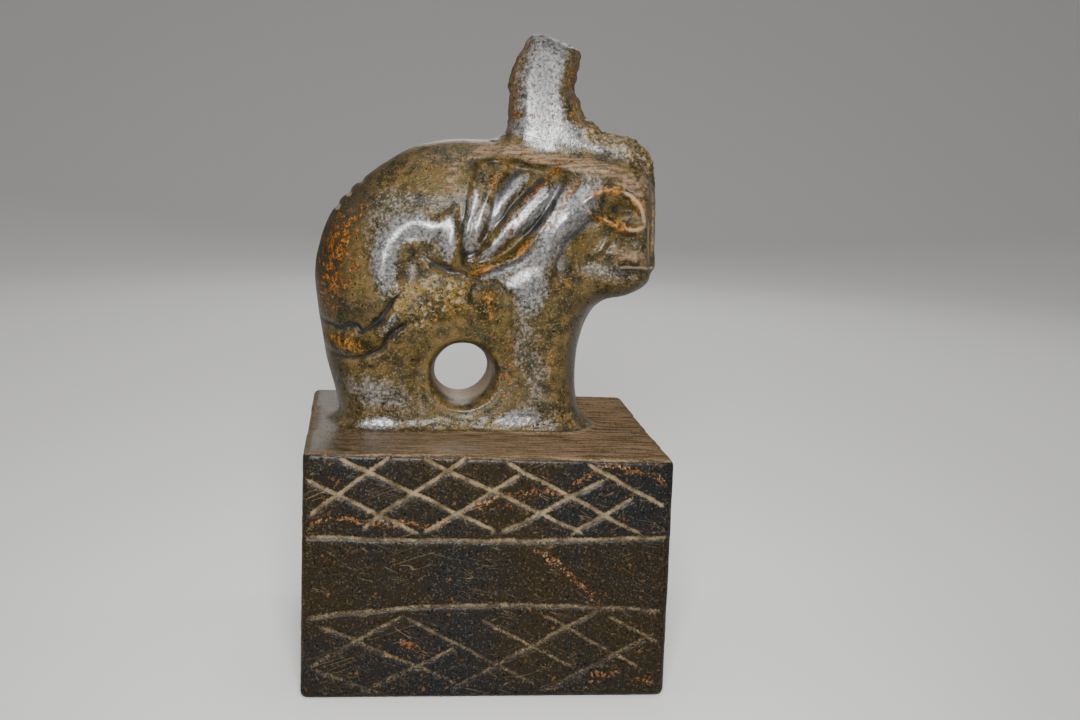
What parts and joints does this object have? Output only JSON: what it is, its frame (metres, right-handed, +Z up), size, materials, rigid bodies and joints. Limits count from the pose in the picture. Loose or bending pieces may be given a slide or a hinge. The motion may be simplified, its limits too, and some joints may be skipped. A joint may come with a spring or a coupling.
{
  "type": "stone elephant figurine",
  "caption": "Stylised stone elephant with an upraised trunk, carved in one with a tall block whose sides are incised with a lattice; a bored hole passes under the belly.",
  "frame": {"origin": "middle of the block's underside, which it stands on", "axes": "+Z up, +X the way the elephant faces, -Y its right side, which the picture shows"},
  "size_m": [0.0886, 0.0826, 0.16],
  "materials": {
    "stone": "polished dark stone with an olive and rust patina, the incised lines dull tan"
  },
  "bodies": {
    "root": {"elephant_on_block": "stone"}
  },
  "joints": []
}
